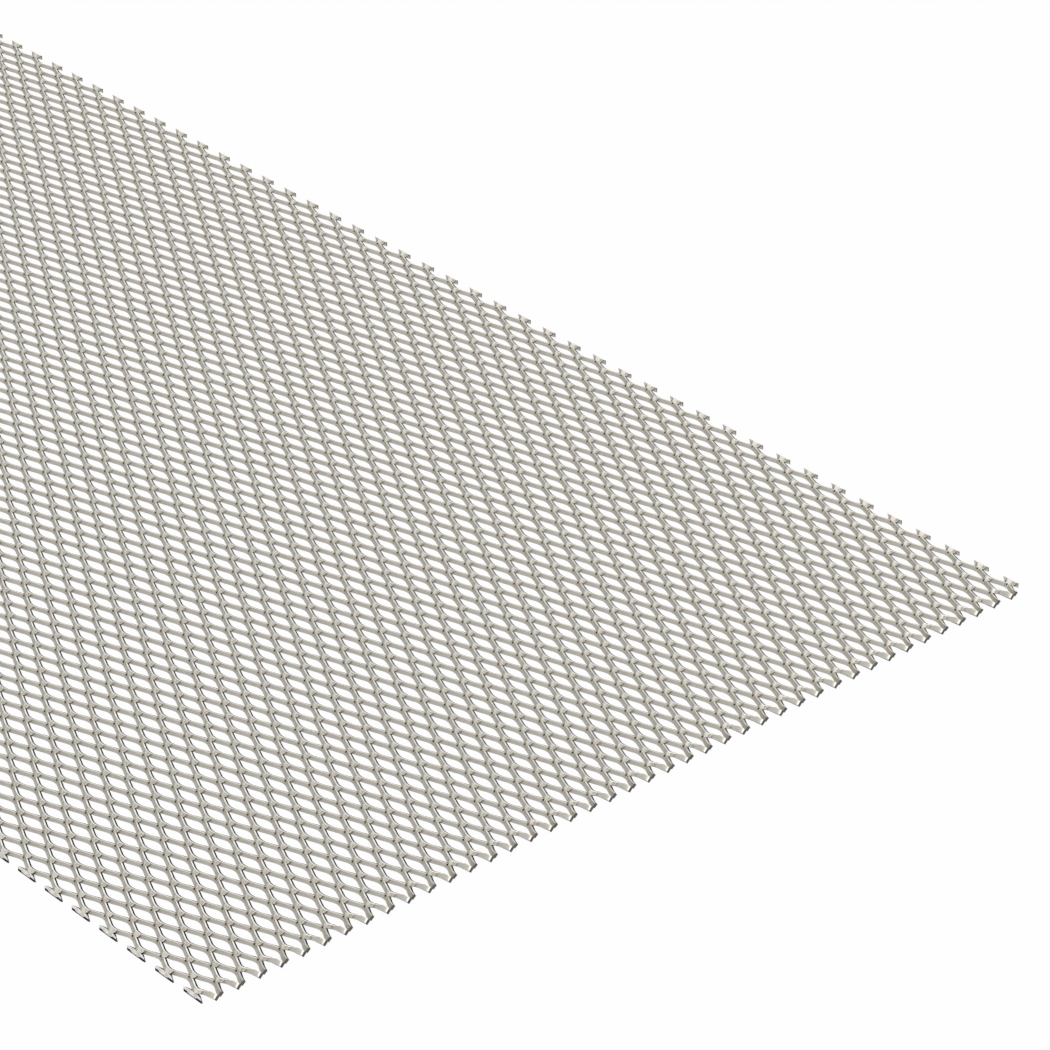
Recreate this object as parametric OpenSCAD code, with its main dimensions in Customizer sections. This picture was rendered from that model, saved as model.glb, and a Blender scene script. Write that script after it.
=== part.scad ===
// Raised expanded metal sheet, slit and stretched from one piece of metal and sheared to size.
// The long way of the diamonds runs along X and the short way along Y. The sheet lies on Z = 0.
// Each row of strands is a zigzag ribbon. Its low bends meet the high bends of the next row face to
// face, and those meetings are the bonds. Stretching leans every row by the same angle.

/* [Sheet] */
// Length of the sheet, along the long way of the diamonds
sheet_l = 500; // [100:1:600]
// Width of the sheet, across the short way of the diamonds
sheet_w = 300; // [60:1:400]

/* [Mesh] */
// Long way of one diamond, between the centres of its bonds
long_way = 11.8; // [9:0.05:15]
// Short way of one diamond, between the centres of its bonds
short_way = 7.1; // [6:0.05:9]
// Width of one strand, which is the feed between two slits
strand_w = 1.4; // [1:0.05:2]
// Thickness of the metal
metal_t = 1.05; // [0.5:0.05:1.5]
// How far the shear cuts the +X end short of the centres of the next bonds
end_trim = 0.75; // [0:0.05:4]

/* [Finish] */
// Colour of the bare metal
metal_colour = "LightGray"; // [LightGray, Silver, DarkGray]

/* [Hidden] */
// Stretching: each row drops by row_drop from bond to bond, and the sheet then lies flat at row_lean
row_pitch = short_way / 2;
row_drop = sqrt(row_pitch * row_pitch - strand_w * strand_w);
row_lean = acos(strand_w / row_pitch);
bend_pitch = long_way / 2;
strand_slope = row_drop / bend_pitch;

// Half of a strand's thickness, measured upright through its slope
half_t = metal_t / 2 * sqrt(1 + strand_slope * strand_slope);
// How far a bend stands past the centre line of its bonds, across and below the sheet
bend_reach = half_t * sin(row_lean);
bend_depth = half_t * cos(row_lean) + strand_w * sin(row_lean);

// Whole rows between the sheared long edges, shared out over a few groups
row_count = floor((sheet_w - 2 * bend_reach) / row_pitch);
group_count = 5;
near_y = -row_count * row_pitch / 2;

// Bends are counted from the +X end, where bend 0 lies just past the cut
function bend_x(i) = sheet_l / 2 + end_trim - i * bend_pitch;
// Centre line of row k, high and low at alternate bends, raised by a half thickness
function bend_height(i, k) = (i + k) % 2 == 0 ? -row_drop : 0;
function line_height(x, k) =
    let (place = (bend_x(0) - x) / bend_pitch, i = floor(place), share = place - i)
    bend_height(i, k) * (1 - share) + bend_height(i + 1, k) * share;
function line_points(k, rise) =
    let (end = sheet_l / 2, last = ceil((sheet_l + end_trim) / bend_pitch) - 1)
    [for (x = [-end, each [for (i = [last : -1 : 1]) bend_x(i)], end]) [x, line_height(x, k) + rise]];
function reversed(points) = [for (i = [len(points) - 1 : -1 : 0]) points[i]];

// One zigzag ribbon, from bond row k to bond row k + 1
module row(k) {
    translate([0, near_y + k * row_pitch, bend_depth])
        rotate([90 + row_lean, 0, 0])
            translate([0, 0, -strand_w])
                linear_extrude(strand_w)
                    polygon(concat(line_points(k, half_t), reversed(line_points(k, -half_t))));
}

// Every second row of one group, which leaves the rows in it apart
module rows(group, first) {
    from = floor((group - 1) * row_count / group_count);
    to = floor(group * row_count / group_count) - 1;
    color(metal_colour)
        for (k = [from : to])
            if (k % 2 == first) row(k);
}

// What the shear leaves of the next row along a long edge: the tapered bits at its bonds
module edge_stubs(k) {
    color(metal_colour)
        intersection() {
            row(k);
            cube([2 * sheet_l, sheet_w, 8 * bend_depth], center = true);
        }
}

module odd_rows(group) rows(group, 0);
module even_rows(group) rows(group, 1);
module near_edge_stubs() edge_stubs(-1);
module far_edge_stubs() edge_stubs(row_count);

odd_rows(1);  // odd_rows_1
odd_rows(2);  // odd_rows_2
odd_rows(3);  // odd_rows_3
odd_rows(4);  // odd_rows_4
odd_rows(5);  // odd_rows_5
even_rows(1);  // even_rows_1
even_rows(2);  // even_rows_2
even_rows(3);  // even_rows_3
even_rows(4);  // even_rows_4
even_rows(5);  // even_rows_5
near_edge_stubs();
far_edge_stubs();
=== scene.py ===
"""Dresses a sheet of raised expanded metal: bent strands, slit faces, sheared edges and a bare finish."""
import logging
import math
from dataclasses import dataclass, field
from enum import Enum
from typing import Any, Union

import bmesh
import bpy
import numpy as np
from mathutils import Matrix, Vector


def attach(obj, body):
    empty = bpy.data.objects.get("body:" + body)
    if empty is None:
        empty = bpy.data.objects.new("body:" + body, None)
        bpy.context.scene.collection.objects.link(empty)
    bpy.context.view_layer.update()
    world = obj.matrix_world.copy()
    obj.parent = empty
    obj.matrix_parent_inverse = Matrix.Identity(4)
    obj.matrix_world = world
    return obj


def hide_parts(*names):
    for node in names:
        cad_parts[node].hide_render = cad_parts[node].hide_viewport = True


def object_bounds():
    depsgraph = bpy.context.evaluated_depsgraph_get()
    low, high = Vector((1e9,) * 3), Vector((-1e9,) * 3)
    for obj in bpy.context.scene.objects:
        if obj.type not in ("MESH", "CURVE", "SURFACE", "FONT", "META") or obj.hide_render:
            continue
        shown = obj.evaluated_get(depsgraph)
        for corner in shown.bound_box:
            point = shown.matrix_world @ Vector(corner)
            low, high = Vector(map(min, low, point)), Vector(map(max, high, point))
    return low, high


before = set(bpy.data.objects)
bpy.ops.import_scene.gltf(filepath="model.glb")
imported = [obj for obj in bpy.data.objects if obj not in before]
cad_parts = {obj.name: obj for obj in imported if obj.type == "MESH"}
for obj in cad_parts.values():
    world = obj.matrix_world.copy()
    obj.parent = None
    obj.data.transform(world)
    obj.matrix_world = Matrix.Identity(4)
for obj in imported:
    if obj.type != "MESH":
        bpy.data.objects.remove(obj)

MM = 0.001
CAD_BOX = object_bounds()
NOISE_MIDDLE = 0.5

Point = tuple[float, float, float]
Colour = tuple[float, float, float, float]

log = logging.getLogger("expanded_metal")


class Parity(Enum):
    """Which rows of strands a piece holds, counted from the near long edge."""

    ODD = 0
    EVEN = 1


class LongEdge(Enum):
    """The two sheared long edges of the sheet."""

    NEAR = "near_edge_stubs"
    FAR = "far_edge_stubs"


def smooth_step(low: float, high: float, values: np.ndarray) -> np.ndarray:
    """Rises from 0 at low to 1 at high as 3q squared less 2q cubed, with q the share of the way.

    Args:
        low: Value at which the step starts.
        high: Value at which it ends.
        values: Any array.

    Returns:
        The step at each value.
    """
    share = np.clip((values - low) / (high - low), 0.0, 1.0)
    return share * share * (3.0 - 2.0 * share)


@dataclass(frozen=True)
class StretchedPattern:
    """Sizes of the slit and stretched mesh in millimetres, with what follows from them.

    Attributes:
        long_way: Distance between two bonds in a row of bonds.
        short_way: Distance between every second row of bonds.
        strand_w: Width of a strand.
        metal_t: Thickness of the metal.
        end_trim: How far the +X end is cut short of its next bonds.
        bond_l: Length of the flat at a bond.
        crest_shift: How far a free bend lies off the halfway point between two bonds, towards its steep side.
        steep_bends: On a steep strand, lengths of the bend beside a bond and of its share of the free bend.
        gentle_bends: The same lengths on a gentle strand.
        steep_turn: Angle by which a steep strand's section turns flatter halfway along.
        burr_break: Size of the broken front edges.
        least_break: What is left of them at a bond.
        half_l: Half of the sheet's length.
        half_w: Half of its width.
        mid_z: Height of the bonds' middles.
    """

    long_way: float = 11.8
    short_way: float = 7.1
    strand_w: float = 1.4
    metal_t: float = 1.05
    end_trim: float = 0.75
    bond_l: float = 0.3
    crest_shift: float = 1.2
    steep_bends: tuple[float, float] = (1.9, 2.2)
    gentle_bends: tuple[float, float] = (0.2, 2.4)
    steep_turn: float = math.radians(8.0)
    burr_break: float = 0.12
    least_break: float = 0.01
    half_l: float = CAD_BOX[1].x / MM
    half_w: float = CAD_BOX[1].y / MM
    mid_z: float = (CAD_BOX[0].z + CAD_BOX[1].z) / 2 / MM

    @property
    def row_pitch(self) -> float:
        """Distance from one row of bonds to the next."""
        return self.short_way / 2

    @property
    def bend_pitch(self) -> float:
        """Distance along a row from a high bend to a low one."""
        return self.long_way / 2

    @property
    def lean_cos(self) -> float:
        """Cosine of the angle by which every row leans back."""
        return self.strand_w / self.row_pitch

    @property
    def lean_sin(self) -> float:
        """Sine of the angle by which every row leans back."""
        return math.sqrt(1.0 - self.lean_cos**2)

    @property
    def row_drop(self) -> float:
        """Depth of the zigzag of one row, before it leans."""
        return self.row_pitch * self.lean_sin

    @property
    def row_count(self) -> int:
        """Whole rows between the sheared long edges."""
        return int((2 * self.half_w - self.metal_t) / self.row_pitch)

    @property
    def bend_marks(self) -> tuple[float, float, float]:
        """Distances from a bond's middle to the ends of the bond, its gentle bend and its steep bend."""
        bond_end = self.bond_l / 2
        return bond_end, bond_end + self.gentle_bends[0], bond_end + self.steep_bends[0]

    def row_y(self, row: Union[int, np.ndarray]) -> Union[float, np.ndarray]:
        """Place across the sheet of the bonds at a row's high bends."""
        return (row - self.row_count / 2) * self.row_pitch

    def bend_x(self, bend: Union[int, np.ndarray]) -> Union[float, np.ndarray]:
        """Place along the sheet of a bend, where bend 0 lies just past the +X end."""
        return self.half_l + self.end_trim - bend * self.bend_pitch

    def edge(self, along: np.ndarray) -> tuple[np.ndarray, np.ndarray]:
        """Path of one edge of a row, which leaves its own bonds and is free and round between two of them.

        The free bend lies off the halfway point, so one strand beside a bond is short and steep and the
        other long and gentle.

        Args:
            along: Places along the row from one of the edge's bonds, positive towards its steep strand.

        Returns:
            The distance by which the edge has left the level of its bonds, and half the metal's thickness
            measured upright through the slope.
        """
        along = along % self.long_way
        steep = self._strand(along, self.bend_pitch - self.crest_shift, *self.steep_bends)
        gentle = self._strand(self.long_way - along, self.bend_pitch + self.crest_shift, *self.gentle_bends)
        left, slope = np.where(along < self.bend_pitch - self.crest_shift, steep, gentle)
        return left, self.metal_t / 2 * np.sqrt(1.0 + slope**2)

    def _strand(self, distance: np.ndarray, run: float, bend_l: float, round_l: float) -> np.ndarray:
        """Path of an edge over one strand.

        From the end of the bond its slope grows evenly to the full value over a bend, and fades evenly over
        the round bend that ends the run. The path is the integral of that: half a square in a bend, a
        straight line between.

        Args:
            distance: Distances from the bond.
            run: Distance from the bond to the middle of the free bend.
            bend_l: Length of the bend beside the bond.
            round_l: Length of the strand's share of the round bend.

        Returns:
            The distance from the bonds' level, and the slope.
        """
        bond_end = self.bond_l / 2
        full = self.row_drop / (run - bond_end - (bend_l + round_l) / 2)
        grown, faded = (distance - bond_end) / bend_l, (distance - run + round_l) / round_l
        left = full * (bend_l * self._eased(grown) - round_l * self._eased(faded))
        return np.stack([left, full * (np.clip(grown, 0.0, 1.0) - np.clip(faded, 0.0, 1.0))])

    def turned(
        self, across: np.ndarray, height: np.ndarray, along: np.ndarray,
    ) -> tuple[np.ndarray, np.ndarray]:
        """Turns the sections of the steep, falling strands flatter about their middles, most halfway along.

        The turn grows and fades as the square of a sine over the strand's length.

        Args:
            across: Places of the corners over the strand's width, station by station.
            height: Their heights.
            along: The stations' places from a high bend, positive towards the falling strand.

        Returns:
            The places and heights after the turn.
        """
        share = np.clip(along / self.bend_pitch, 0.0, 1.0)
        angle = (-self.steep_turn * np.sin(math.pi * share) ** 2)[:, None]
        mid_across, mid_height = across.mean(axis=1, keepdims=True), height.mean(axis=1, keepdims=True)
        side, up = across - mid_across, height - mid_height
        return (
            mid_across + side * np.cos(angle) - up * np.sin(angle),
            mid_height + side * np.sin(angle) + up * np.cos(angle),
        )

    def leaned(self, across: np.ndarray, height: np.ndarray) -> tuple[np.ndarray, np.ndarray]:
        """Turns a row's own width and height by the lean, about the line of its high bonds.

        Args:
            across: Places over the strand's width.
            height: Heights above the centre line of the high bonds.

        Returns:
            The offsets across the sheet and upwards.
        """
        return (
            across * self.lean_cos - height * self.lean_sin,
            across * self.lean_sin + height * self.lean_cos,
        )

    @staticmethod
    def _eased(share: np.ndarray) -> np.ndarray:
        """Integral of a slope that grows evenly from 0 to 1 and then stays at 1."""
        inside = np.clip(share, 0.0, 1.0)
        return inside**2 / 2 + np.maximum(share - 1.0, 0.0)


@dataclass
class SurfaceMesh:
    """Rings of points carried along paths, with the marks that the finish reads, for one piece.

    Attributes:
        points: Places in millimetres, by path, ring and corner.
        depth: How deep each corner lies in the metal, from 0 at the front face to 1 at the back.
        notch_shade: 1 at the corners where a slit starts, which the finish paints with a dark dot of shade,
            and 0 elsewhere.
        slit_sides: Numbers of the sides that are slit faces, where side 0 goes from corner 0 to corner 1.
    """

    points: np.ndarray
    depth: np.ndarray
    notch_shade: np.ndarray
    slit_sides: tuple[int, ...]

    def faces(self) -> tuple[np.ndarray, np.ndarray, np.ndarray]:
        """Corner indices of all faces.

        Each path has rings of points. Neighbouring rings are joined by a quad on each side, and the first
        and the last ring are closed by one face each.

        Returns:
            The quads, their side numbers, and the end faces.
        """
        paths, rings, sides = self.points.shape[:3]
        index = np.arange(paths * rings * sides).reshape(paths, rings, sides)
        following = np.roll(index, -1, axis=2)
        quads = np.stack([index[:, :-1], index[:, 1:], following[:, 1:], following[:, :-1]], axis=-1)
        side_numbers = np.broadcast_to(np.arange(sides), quads.shape[:3])
        caps = np.concatenate([index[:, 0], index[:, -1, ::-1]])
        return quads.reshape(-1, 4), side_numbers.reshape(-1), caps

    def to_object(self, name: str) -> bpy.types.Object:
        """Puts the surface into a mesh object at the origin, smooth along the paths and sharp at the edges.

        Args:
            name: Name of the new piece.

        Returns:
            The object.
        """
        quads, side_numbers, caps = self.faces()
        sides = self.points.shape[2]
        mesh = bpy.data.meshes.new(name)
        mesh.vertices.add(self.points.size // 3)
        mesh.vertices.foreach_set("co", (self.points * MM).astype(np.float32).ravel())
        mesh.loops.add(quads.size + caps.size)
        mesh.loops.foreach_set("vertex_index", np.concatenate([quads.ravel(), caps.ravel()]).astype(np.int32))
        starts = np.concatenate([np.arange(len(quads)) * 4, quads.size + np.arange(len(caps)) * sides])
        mesh.polygons.add(len(starts))
        mesh.polygons.foreach_set("loop_start", starts.astype(np.int32))
        mesh.update(calc_edges=True)
        mesh.polygons.foreach_set("use_smooth", np.ones(len(starts), dtype=bool))
        is_slit = np.isin(side_numbers, self.slit_sides)
        self._mark(mesh, "slit", "FACE", np.concatenate([is_slit, np.zeros(len(caps))]))
        self._mark(mesh, "cut", "FACE", np.concatenate([np.zeros(len(quads)), np.ones(len(caps))]))
        self._mark(mesh, "depth", "POINT", self.depth.ravel())
        self._mark(mesh, "notch_shade", "POINT", self.notch_shade.ravel())
        self._sharpen(mesh, sides)
        piece = bpy.data.objects.new(name, mesh)
        bpy.context.scene.collection.objects.link(piece)
        return piece

    @staticmethod
    def _mark(mesh: bpy.types.Mesh, name: str, domain: str, values: np.ndarray) -> None:
        """Stores one value per face or point for the finish to read."""
        mesh.attributes.new(name, "FLOAT", domain).data.foreach_set("value", values.astype(np.float32))

    def _sharpen(self, mesh: bpy.types.Mesh, sides: int) -> None:
        """Marks the edges that run along the paths, and those round the end faces, as sharp.

        Args:
            mesh: The mesh of this surface.
            sides: Number of corners in a ring.
        """
        ends = np.zeros(len(mesh.edges) * 2, dtype=np.int32)
        mesh.edges.foreach_get("vertices", ends)
        ends = ends.reshape(-1, 2)
        rings = self.points.shape[1]
        corner, ring = ends % sides, ends // sides % rings
        along = corner[:, 0] == corner[:, 1]
        on_end = np.isin(ring, (0, rings - 1)).all(axis=1)
        mesh.attributes.new("sharp_edge", "BOOLEAN", "EDGE").data.foreach_set("value", along | on_end)


@dataclass
class StrandRows:
    """Every second row of one group: ribbons that bend from bond to bond and lean back.

    Attributes:
        pattern: The mesh's sizes.
        parity: Which rows of the group are in this piece.
        group: Number of the group, from 1 at the near edge.
        group_count: How many groups share the rows.
        tip_turn: Angle by which the tips at the cut ends turn flatter.
        tip_share: Share of the bend pitch that a tip takes up.
        cut_clearance: Least distance from a cut end to the next station, in millimetres.
        slit_gap: How near to a slit's start a station counts as being there, in millimetres.
        spare_bends: How many bends past a cut end the stations are first laid out to.
        place_digits: Decimals that the stations are rounded to, so that none comes twice.
    """

    pattern: StretchedPattern
    parity: Parity
    group: int
    group_count: int
    tip_turn: float = math.radians(24.0)
    tip_share: float = 0.85
    cut_clearance: float = 0.05
    slit_gap: float = 0.05
    spare_bends: int = 3
    place_digits: int = 3

    FRONT_LOW, FRONT_HIGH, SLIT_FRONT, SLIT_BACK, BACK_LOW, LOW_FRONT = range(6)

    @property
    def name(self) -> str:
        """Name of the solid that these rows stand for."""
        return f"{self.parity.name.lower()}_rows_{self.group}"

    @property
    def rows(self) -> np.ndarray:
        """Numbers of the rows in this piece."""
        count = self.pattern.row_count
        first = (self.group - 1) * count // self.group_count
        numbers = np.arange(first, self.group * count // self.group_count)
        return numbers[numbers % 2 == self.parity.value]

    def stations(self) -> np.ndarray:
        """Places along the sheet at which a ribbon has a ring of points.

        They are the middle and the ends of each bond and of each free round bend, the ends of the bends
        beside a bond, a place within the steep ones, and the middles of the strands. The cut ends are added.

        Returns:
            The places in rising order.
        """
        p = self.pattern
        bond_end, gentle_end, steep_end = p.bend_marks
        round_from, round_to = p.crest_shift - p.gentle_bends[1], p.crest_shift + p.steep_bends[1]
        beside = np.array([
            -p.bend_pitch / 2, round_from, -gentle_end, -bond_end, 0.0, bond_end, p.crest_shift,
            (bond_end + steep_end) / 2, steep_end, round_to, p.bend_pitch / 2,
        ])
        offsets = np.concatenate([beside, p.bend_pitch - beside])
        whole = int(2 * p.half_l / p.bend_pitch)
        bends = np.arange(-self.spare_bends, whole + self.spare_bends + 1)
        high = p.bend_x(bends[(bends + self.parity.value) % 2 == 1])
        places = np.unique(np.round((high[:, None] + offsets).ravel(), self.place_digits))
        inside = places[np.abs(places) < p.half_l - self.cut_clearance]
        return np.concatenate([[-p.half_l], inside, [p.half_l]])

    def from_high_bend(self, x: np.ndarray) -> np.ndarray:
        """Place of each station from the high bend before it, along one wave of these rows."""
        p = self.pattern
        return (x - p.bend_x(1 - self.parity.value)) % p.long_way

    def surface(self) -> SurfaceMesh:
        """The ribbons of all rows of this piece.

        A ribbon falls from each high bend to the low ones beside it. Each of its two edges bends beside its
        own bonds and, roundly, where it is free, so the faces between them twist. The section is strand width
        by metal thickness, with the front edges broken. The breaks close at the bonds, where the front face
        of one row goes over into that of the next. The section of a falling strand turns a little flatter.
        All sections then lean back, and near the cut ends they turn flatter about the last bond.

        Returns:
            The surface, in millimetres.
        """
        p = self.pattern
        x = self.stations()
        along = self.from_high_bend(x)
        distance = np.minimum(along, p.long_way - along)
        bond_end, gentle_end, _ = p.bend_marks
        low_fall, low_half = p.edge(along)
        high_rise, high_half = p.edge(p.bend_pitch - along)
        high_fall = p.row_drop - high_rise
        low_break = p.least_break + p.burr_break * smooth_step(bond_end, gentle_end, distance)
        high_break = p.least_break + p.burr_break * smooth_step(bond_end, gentle_end, p.bend_pitch - distance)
        width = np.full_like(x, p.strand_w)
        none = np.zeros_like(x)
        across = np.stack([low_break, width - high_break, width, width, none, none], axis=1)
        low, high = low_half - low_fall, high_half - high_fall
        height = np.stack([
            low, high, high - high_break, -high_half - high_fall, -low_half - low_fall, low - low_break,
        ], axis=1)
        y, z = p.leaned(*p.turned(across, height, along))
        place = np.stack([np.broadcast_to(x[:, None], y.shape), y, z], axis=-1)
        points = np.repeat(place[None], len(self.rows), axis=0)
        points[..., 1] += p.row_y(self.rows)[:, None, None]
        points[..., 2] += p.mid_z
        for end in (1.0, -1.0):
            points = self._flattened_tips(points, x, end)
        depth = np.zeros(points.shape[:3])
        depth[..., (self.SLIT_BACK, self.BACK_LOW)] = 1.0
        # The slit starts beside each bond are marked for a painted dark dot of shade.
        notch_shade = np.zeros(points.shape[:3])
        notch_shade[..., (self.FRONT_LOW, self.LOW_FRONT)] = self._slit_start(p.long_way - along)[:, None]
        notch_shade[..., (self.FRONT_HIGH, self.SLIT_FRONT)] = self._slit_start(p.bend_pitch - along)[:, None]
        np.clip(points[..., 2], CAD_BOX[0].z / MM, CAD_BOX[1].z / MM, out=points[..., 2])
        return SurfaceMesh(points, depth, notch_shade, slit_sides=(self.SLIT_FRONT, self.BACK_LOW))

    def _slit_start(self, distance: np.ndarray) -> np.ndarray:
        """1 where a slit starts, at so far from its bond, and 0 at all other stations."""
        return (np.abs(distance - self.pattern.bond_l / 2) < self.slit_gap).astype(float)

    def _flattened_tips(self, points: np.ndarray, x: np.ndarray, end: float) -> np.ndarray:
        """Turns the sections near one cut end about the line of the last bond, as the shear presses them.

        The turn grows with a smooth step from nothing to its full angle at the cut. A bond on a long edge
        isn't turned.

        Args:
            points: The ribbons' points, in rows, stations and corners.
            x: The stations' places.
            end: 1 for the +X end and -1 for the other.

        Returns:
            The points with the turned tips.
        """
        p = self.pattern
        bend = 0 if end > 0 else round((2 * p.half_l + 2 * p.end_trim) / p.bend_pitch)
        bond_row = self.rows + (bend + self.parity.value + 1) % 2
        turn = -self.tip_turn * smooth_step(p.half_l - self.tip_share * p.bend_pitch, p.half_l, end * x)
        free = (bond_row > 0) & (bond_row < p.row_count)
        angle = free[:, None, None] * turn[None, :, None]
        from_y = points[..., 1] - p.row_y(bond_row)[:, None, None]
        from_z = points[..., 2] - p.mid_z
        turned = points.copy()
        turned[..., 1] += from_y * (np.cos(angle) - 1.0) - from_z * np.sin(angle)
        turned[..., 2] += from_z * (np.cos(angle) - 1.0) + from_y * np.sin(angle)
        return turned

    def build(self) -> bpy.types.Object:
        """Makes the piece, which stands for the solid of the same rows."""
        piece = self.surface().to_object(f"strands_{self.name}")
        return placed(piece, self.name)


@dataclass
class EdgeStubs:
    """What the shear leaves of the next row along one long edge: a tapered bit at each of its bonds.

    Attributes:
        pattern: The mesh's sizes.
        edge: The long edge that the bits are on.
        steps: Lengths that a bit is divided into.
        near_spread: How much longer the near bits are than the strand that they come from.
        far_spread: The same for the far bits.
        reach_share: Share of its reach at which a bit ends, a little before its point.
        reach_samples: Number of places at which the reach is looked for.
        weld_gap: Distance within which corners are welded, in millimetres.
    """

    pattern: StretchedPattern
    edge: LongEdge
    steps: int = 10
    near_spread: float = 1.5
    far_spread: float = 1.15
    reach_share: float = 0.96
    reach_samples: int = 400
    weld_gap: float = 1e-3

    BACK_CUT, FRONT_CUT, FRONT, INNER, BACK = range(5)

    @property
    def spread(self) -> float:
        """How much longer the shear has drawn the bits than the strand that they come from."""
        return self.near_spread if self.edge is LongEdge.NEAR else self.far_spread

    def reach(self) -> float:
        """Finds how far along the edge a bit goes before its last corner meets the shear plane.

        Returns:
            The distance from the bond.
        """
        p = self.pattern
        distance = np.linspace(0.0, p.bend_pitch - p.crest_shift, self.reach_samples)
        fall, half = p.edge(distance)
        margin = p.half_w - p.row_count * p.row_pitch / 2
        return float(np.interp(margin / p.lean_sin, fall - half, distance))

    def surface(self) -> SurfaceMesh:
        """The bits at all bonds of this edge.

        Each is a length of the next ribbon, centred on a bond, with its section clipped by the upright shear
        plane. The far edge is the near edge turned half way round the sheet's long axis.

        Returns:
            The surface, in millimetres.
        """
        p = self.pattern
        bends = np.arange(1, int((2 * p.half_l + p.end_trim) / p.bend_pitch) + 2, 2)
        bond_x = p.bend_x(bends)[:, None]
        reach = self.reach_share * self.reach() * self.spread
        first = np.maximum(bond_x - reach, -p.half_l)
        last = np.minimum(bond_x + reach, p.half_l)
        x = first + (last - first) * np.linspace(0.0, 1.0, self.steps + 1)
        y, z = self._clipped_section(np.abs(x - bond_x) / self.spread)
        points = np.stack([np.broadcast_to(x[..., None], y.shape), y, z], axis=-1)
        depth = np.zeros(points.shape[:3])
        depth[..., (self.BACK_CUT, self.INNER, self.BACK)] = 1.0
        if self.edge is LongEdge.FAR:
            points[..., 1] *= -1.0
            points[..., 2] = 2 * p.mid_z - points[..., 2]
            depth = 1.0 - depth
        slit_sides = (self.BACK_CUT, self.FRONT, self.BACK)
        return SurfaceMesh(points, depth, np.zeros_like(depth), slit_sides)

    def _clipped_section(self, distance: np.ndarray) -> tuple[np.ndarray, np.ndarray]:
        """Corners of the section of a bit on the near edge, on the sheet's side of the shear plane.

        The section is a leaning strip. Its lowest corner lies furthest out and its opposite corner furthest
        in. Two chains of edges join them, and each is followed inwards until it meets the plane.

        Args:
            distance: Distance of each station from its bond.

        Returns:
            Places across and above the sheet of the five corners at each station.
        """
        p = self.pattern
        rise, half = p.edge(distance)
        free_rise, free_half = p.edge(p.bend_pitch - distance)
        free_rise = p.row_drop - free_rise

        def corner(across: float, height: np.ndarray) -> np.ndarray:
            """Place of one corner, across and above the sheet."""
            y, z = p.leaned(across, height)
            return np.stack([y + p.row_y(0), z + p.mid_z], axis=-1)

        outer, back = corner(-p.strand_w, free_rise + free_half), corner(-p.strand_w, free_rise - free_half)
        front, inner = corner(0.0, rise + half), corner(0.0, rise - half)

        def on_plane(start: np.ndarray, end: np.ndarray) -> np.ndarray:
            """Point of an edge on the shear plane, or its nearer end."""
            share = (-p.half_w - start[..., 0]) / (end[..., 0] - start[..., 0])
            return start + (end - start) * np.clip(share, 0.0, 1.0)[..., None]

        past_front = (front[..., 0] < -p.half_w)[..., None]
        past_back = (back[..., 0] < -p.half_w)[..., None]
        front_cut = np.where(past_front, on_plane(front, inner), on_plane(outer, front))
        back_cut = np.where(past_back, on_plane(back, inner), on_plane(outer, back))
        front, back = np.where(past_front, front_cut, front), np.where(past_back, back_cut, back)
        corners = np.stack([back_cut, front_cut, front, inner, back], axis=-2)
        return corners[..., 0], corners[..., 1]

    def build(self) -> bpy.types.Object:
        """Makes the piece and welds the corners that the clipping brought together.

        Returns:
            The piece, which stands for the solid of the same edge.
        """
        piece = self.surface().to_object(f"sheared_{self.edge.value}")
        shell = bmesh.new()
        shell.from_mesh(piece.data)
        bmesh.ops.remove_doubles(shell, verts=shell.verts, dist=self.weld_gap * MM)
        bmesh.ops.dissolve_degenerate(shell, edges=shell.edges, dist=self.weld_gap * MM)
        shell.to_mesh(piece.data)
        shell.free()
        return placed(piece, self.edge.value)


def placed(piece: bpy.types.Object, node: str) -> bpy.types.Object:
    """Lets a piece stand for its solid and move with the sheet.

    Args:
        piece: The finished mesh object.
        node: Name of the solid that it stands for.

    Returns:
        The same object.
    """
    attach(piece, "root")
    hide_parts(node)
    return piece


Operand = Union["Signal", float]


@dataclass(frozen=True)
class Signal:
    """A shader value that takes part in sums. Each sum adds a Math node."""

    graph: "NodeGraph"
    socket: bpy.types.NodeSocket

    def __add__(self, other: Operand) -> "Signal":
        """Sum of two values."""
        return self.graph.math("ADD", self, other)

    def __radd__(self, other: float) -> "Signal":
        """Sum of a number and this value."""
        return self.graph.math("ADD", other, self)

    def __sub__(self, other: Operand) -> "Signal":
        """This value less another."""
        return self.graph.math("SUBTRACT", self, other)

    def __rsub__(self, other: float) -> "Signal":
        """A number less this value."""
        return self.graph.math("SUBTRACT", other, self)

    def __mul__(self, other: Operand) -> "Signal":
        """Product of two values."""
        return self.graph.math("MULTIPLY", self, other)

    def __rmul__(self, other: float) -> "Signal":
        """Product of a number and this value."""
        return self.graph.math("MULTIPLY", other, self)


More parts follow.
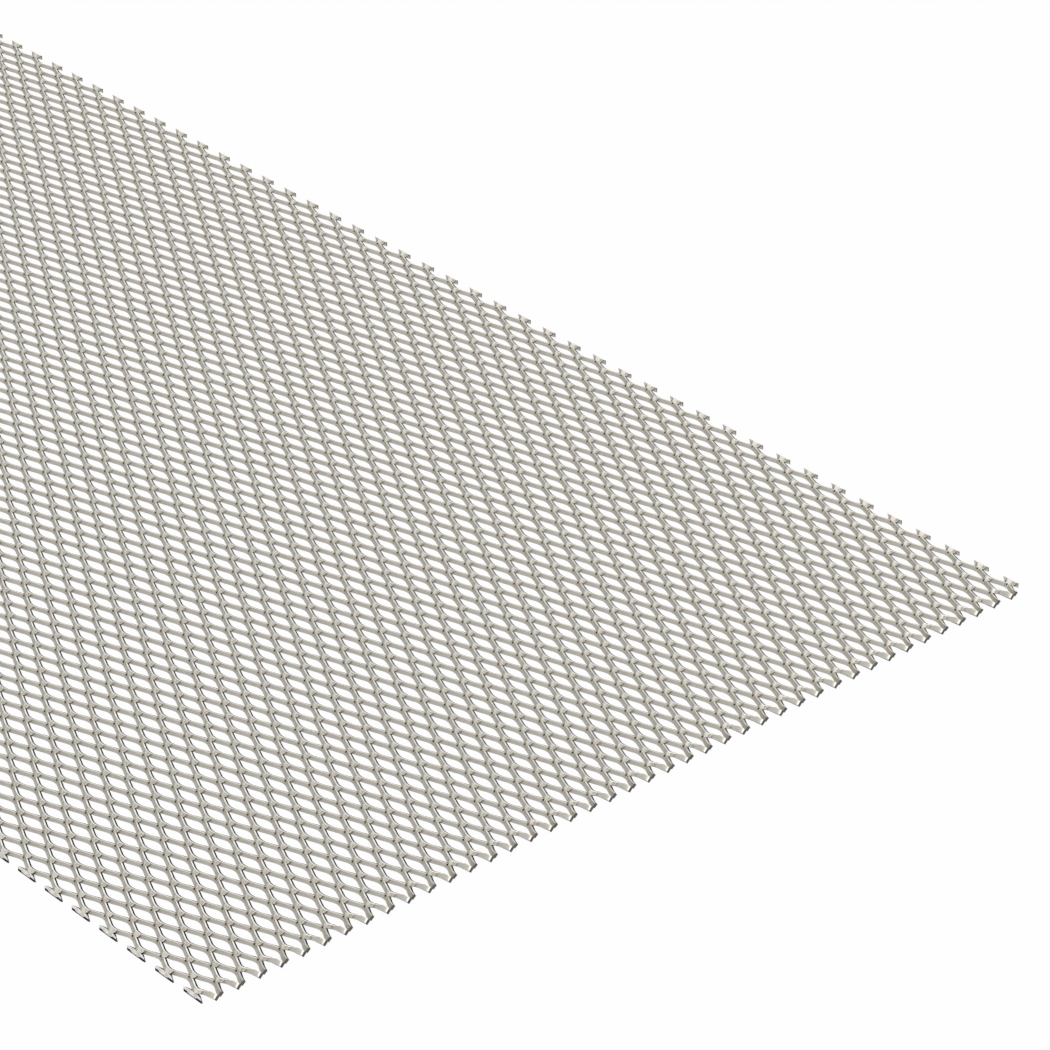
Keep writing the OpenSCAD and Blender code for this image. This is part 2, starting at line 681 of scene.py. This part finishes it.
class NodeGraph:
    """A node tree that is written as expressions."""

    def __init__(self, tree: bpy.types.NodeTree) -> None:
        """Starts from an empty tree.

        Args:
            tree: The tree of a material or world.
        """
        self.tree = tree
        tree.nodes.clear()

    def node(self, kind: str, settings: Union[dict[str, Any], None] = None,
             inputs: Union[dict[Union[str, int], Any], None] = None, output: Union[str, int] = 0) -> Signal:
        """Adds one node.

        Args:
            kind: Blender's name for the node's type.
            settings: The node's own settings, set before its sockets.
            inputs: Values or signals for its sockets, by name or number.
            output: Which output to hand back.

        Returns:
            That output.
        """
        made = self.tree.nodes.new(kind)
        for key, value in (settings or {}).items():
            setattr(made, key, value)
        for key, value in (inputs or {}).items():
            if isinstance(value, Signal):
                self.tree.links.new(value.socket, made.inputs[key])
            else:
                made.inputs[key].default_value = value
        return Signal(self, made.outputs[output] if len(made.outputs) else made.inputs[0])

    def math(self, operation: str, first: Operand, second: Operand) -> Signal:
        """A Math node on two values."""
        return self.node("ShaderNodeMath", {"operation": operation}, {0: first, 1: second})

    def attribute(self, name: str) -> Signal:
        """A mark that the meshes store, as a value."""
        return self.node("ShaderNodeAttribute", {"attribute_name": name}, output="Fac")

    def blend(self, share: Operand, first: Any, second: Any) -> Signal:
        """Goes from the first colour to the second by a share."""
        return self.node("ShaderNodeMix", {"data_type": "RGBA"}, {0: share, 6: first, 7: second}, output=2)

    def step(self, value: Signal, low: float, high: float) -> Signal:
        """Smooth step of a value from 0 at low to 1 at high."""
        return self.node(
            "ShaderNodeMapRange", {"interpolation_type": "SMOOTHSTEP"},
            {"Value": value, "From Min": low, "From Max": high},
        )

    def noise(self, coordinates: Signal, per_metre: float, detail: float = 2.0) -> Signal:
        """Noise on coordinates in metres, with about so many bumps in a metre."""
        inputs = {"Vector": coordinates, "Scale": per_metre, "Detail": detail}
        return self.node("ShaderNodeTexNoise", None, inputs)

    def dot(self, vector: Signal, fixed: Point) -> Signal:
        """Dot product of a vector and a fixed one."""
        settings = {"operation": "DOT_PRODUCT"}
        return self.node("ShaderNodeVectorMath", settings, {0: vector, 1: fixed}, output="Value")


@dataclass(frozen=True)
class BareMetal:
    """Mill finish of the faces, bright slit faces whose torn zone is rough and is painted near black as
    shade, painted dots of the same shade where the slits start, and dull sheared ends.

    A value that ends in from and one that ends in full are where a smooth step starts and ends. One that
    ends in waver is how far noise moves something.
    """

    face: Colour = (0.88, 0.85, 0.78, 1.0)
    face_warm: Colour = (0.85, 0.80, 0.71, 1.0)
    slit: Colour = (0.95, 0.95, 0.94, 1.0)
    # Near black: painted shade for the dark that the torn zone reflects, over the real rougher torn metal;
    # the slit starts get it too.
    torn_and_shade: Colour = (0.02, 0.018, 0.015, 1.0)
    sheared: Colour = (0.18, 0.175, 0.165, 1.0)
    warm_from: float = 0.35
    warm_full: float = 0.7
    face_rough: float = 0.3
    rough_waver: float = 0.12
    cut_rough_gain: float = 0.15
    slit_rough: float = 0.25
    torn_rough: float = 0.75
    torn_from: float = 0.42
    torn_full: float = 0.54
    torn_waver: float = 0.16
    # Where the painted shade at the slit starts begins and where it is full.
    notch_shade_from: float = 0.3
    notch_shade_full: float = 0.75
    slit_metallic: float = 0.4
    blotch_per_metre: float = 420.0
    grain_per_metre: float = 3200.0
    grain_detail: float = 3.0
    grain_bump: float = 0.06
    grain_height: float = 2e-5

    def make(self) -> bpy.types.Material:
        """Makes the material.

        Returns:
            The material, which reads the meshes' own marks and Object coordinates.
        """
        material = bpy.data.materials.new("bare_metal_mill")
        material.use_nodes = True
        g = NodeGraph(material.node_tree)
        place = g.node("ShaderNodeTexCoord", output="Object")
        blotch = g.noise(place, self.blotch_per_metre)
        grain = g.noise(place, self.grain_per_metre, self.grain_detail)
        slit, cut, depth, notch_shade = (g.attribute(name) for name in ("slit", "cut", "depth", "notch_shade"))
        wavering = depth + (grain - NOISE_MIDDLE) * self.torn_waver
        # The torn zone and the slit starts take the near-black colour as painted shade; the torn zone is also
        # rougher and bumpier.
        torn_and_shade_zone = slit * g.step(wavering, self.torn_from, self.torn_full)
        torn_and_shade = g.math("MAXIMUM", torn_and_shade_zone, g.step(notch_shade, self.notch_shade_from, self.notch_shade_full))
        face = g.blend(g.step(blotch, self.warm_from, self.warm_full), self.face, self.face_warm)
        colour = g.blend(cut, g.blend(torn_and_shade, g.blend(slit, face, self.slit), self.torn_and_shade), self.sheared)
        smooth = slit * (1.0 - torn_and_shade)
        metallic = 1.0 - smooth * (1.0 - self.slit_metallic)
        rough = (
            self.face_rough + (blotch - NOISE_MIDDLE) * self.rough_waver
            + smooth * (self.slit_rough - self.face_rough)
            + torn_and_shade * (self.torn_rough - self.face_rough) + cut * self.cut_rough_gain
        )
        normal = g.node("ShaderNodeBump", None, {
            "Strength": self.grain_bump, "Distance": self.grain_height, "Height": grain + torn_and_shade * grain,
        })
        shader = g.node("ShaderNodeBsdfPrincipled", None, {
            "Base Color": colour, "Roughness": rough, "Metallic": metallic, "Normal": normal,
        })
        g.node("ShaderNodeOutputMaterial", None, {"Surface": shader})
        return material


@dataclass(frozen=True)
class PaleFloor:
    """White floor that shows as the background and keeps a soft shadow.

    Attributes:
        size: Length of its sides in metres.
        colour: Paint that takes the light and the shadow.
        white: Plain white that is mixed in.
        white_share: Share of plain white that the camera sees.
        mirrored_share: Share that reflections see, since the floor they show lies in the sheet's shade.
    """

    size: float = 8.0
    colour: Colour = (0.5, 0.5, 0.5, 1.0)
    white: Colour = (1.0, 1.0, 1.0, 1.0)
    white_share: float = 0.98
    mirrored_share: float = 0.28

    def build(self) -> None:
        """Makes the floor under the sheet, which isn't part of the object."""
        half = self.size / 2
        corners = [(-half, -half, 0), (half, -half, 0), (half, half, 0), (-half, half, 0)]
        mesh = bpy.data.meshes.new("floor")
        mesh.from_pydata(corners, [], [range(len(corners))])
        mesh.materials.append(self._material())
        floor = bpy.data.objects.new("floor", mesh)
        bpy.context.scene.collection.objects.link(floor)

    def _material(self) -> bpy.types.Material:
        """Mixes plain white into the paint by the kind of ray that sees it.

        Returns:
            The material.
        """
        material = bpy.data.materials.new("pale_floor")
        material.use_nodes = True
        g = NodeGraph(material.node_tree)
        rays = ("Camera", "Glossy", "Transmission")
        seen, glossy, through = (g.node("ShaderNodeLightPath", output=f"Is {ray} Ray") for ray in rays)
        share = seen * self.white_share + g.math("MAXIMUM", glossy, through) * self.mirrored_share
        paint = g.node("ShaderNodeBsdfDiffuse", None, {"Color": self.colour})
        white = g.node("ShaderNodeEmission", None, {"Color": self.white})
        mixed = g.node("ShaderNodeMixShader", None, {0: share, 1: paint, 2: white})
        g.node("ShaderNodeOutputMaterial", None, {"Surface": mixed})
        return material


def aimed(name: str, data: Union[bpy.types.Light, bpy.types.Camera], place: Point,
          target: Point) -> bpy.types.Object:
    """Adds a lamp or camera to the scene, turned towards a target.

    Args:
        name: Name of the object.
        data: The lamp or camera.
        place: Where it stands, in metres.
        target: What it faces.

    Returns:
        The object.
    """
    holder = bpy.data.objects.new(name, data)
    holder.location = place
    holder.rotation_euler = (Vector(target) - Vector(place)).to_track_quat("-Z", "Y").to_euler()
    bpy.context.scene.collection.objects.link(holder)
    return holder


@dataclass(frozen=True)
class StudioLight:
    """Soft light all round, brightest from the front and the back, darker on the left, with one soft lamp.

    Attributes:
        bright_along: Line along which the light is brightest, both ways.
        base: Strength of the light across that line.
        swing: What is added along it.
        flag_from: Direction in which the light is held off.
        flag_power: How narrow that part is.
        flag_depth: How much light is taken away there.
        lamp_place: Where the lamp stands, in metres.
        lamp_target: What it faces.
        lamp_size: Length of its sides in metres.
        lamp_power: Its power in watts.
    """

    bright_along: Point = (-0.2, 0.98, 0.0)
    base: float = 1.05
    swing: float = 0.95
    flag_from: Point = (-1.0, 0.05, -0.1)
    flag_power: float = 3.0
    flag_depth: float = 1.0
    lamp_place: Point = (-0.9, 1.1, 1.3)
    lamp_target: Point = (0.0, 0.0, 0.0)
    lamp_size: float = 1.4
    lamp_power: float = 4.0

    def build(self) -> None:
        """Makes the world and the lamp."""
        world = bpy.data.worlds.new("studio")
        bpy.context.scene.world = world
        world.use_nodes = True
        g = NodeGraph(world.node_tree)
        direction = g.node("ShaderNodeTexCoord", output="Generated")
        towards, flagged = g.dot(direction, self.bright_along), g.dot(direction, self.flag_from)
        flag = g.math("POWER", g.math("MAXIMUM", flagged, 0.0), self.flag_power)
        strength = self.base + self.swing * (towards * towards) - self.flag_depth * flag
        light = g.node("ShaderNodeBackground", None, {"Strength": strength})
        g.node("ShaderNodeOutputWorld", None, {"Surface": light})
        lamp = bpy.data.lights.new("soft_lamp", "AREA")
        lamp.energy = self.lamp_power
        lamp.size = self.lamp_size
        aimed("soft_lamp", lamp, self.lamp_place, self.lamp_target)


@dataclass(frozen=True)
class StudioCamera:
    """Long lens from the front right, which cuts the sheet's left end off."""

    place: Point = (1.03428, -0.73444, 0.72639)
    target: Point = (0.12769, 0.06593, 0.00172)
    lens: float = 163.99
    sensor: float = 36.0

    def build(self) -> None:
        """Makes the camera and gives it to the scene."""
        data = bpy.data.cameras.new("camera")
        data.lens = self.lens
        data.sensor_width = self.sensor
        bpy.context.scene.camera = aimed("camera", data, self.place, self.target)


@dataclass
class ExpandedSheet:
    """The whole sheet: its rows of strands and the bits along its two long edges."""

    pattern: StretchedPattern = field(default_factory=StretchedPattern)
    finish: BareMetal = field(default_factory=BareMetal)
    group_count: int = 5

    def build(self) -> list[bpy.types.Object]:
        """Makes every piece of the sheet.

        Returns:
            The pieces of the odd rows, of the even rows and of the two long edges.
        """
        pieces = [
            StrandRows(self.pattern, parity, group, self.group_count).build()
            for parity in Parity for group in range(1, self.group_count + 1)
        ]
        return pieces + [EdgeStubs(self.pattern, edge).build() for edge in LongEdge]

    def dress(self, pieces: list[bpy.types.Object]) -> None:
        """Gives every piece the bare metal finish.

        Args:
            pieces: The sheet's pieces.
        """
        metal = self.finish.make()
        for piece in pieces:
            piece.data.materials.append(metal)


def main() -> None:
    """Builds the sheet, its finish, the floor, the light and the camera."""
    logging.basicConfig(level=logging.INFO, format="%(name)s: %(message)s")
    bpy.context.scene.view_settings.view_transform = "Standard"
    StudioCamera().build()
    StudioLight().build()
    PaleFloor().build()
    sheet = ExpandedSheet()
    pieces = sheet.build()
    sheet.dress(pieces)
    for piece in pieces:
        log.info("%s: %d faces", piece.name, len(piece.data.polygons))
    log.info("all: %d faces", sum(len(piece.data.polygons) for piece in pieces))


if __name__ == "__main__":
    main()
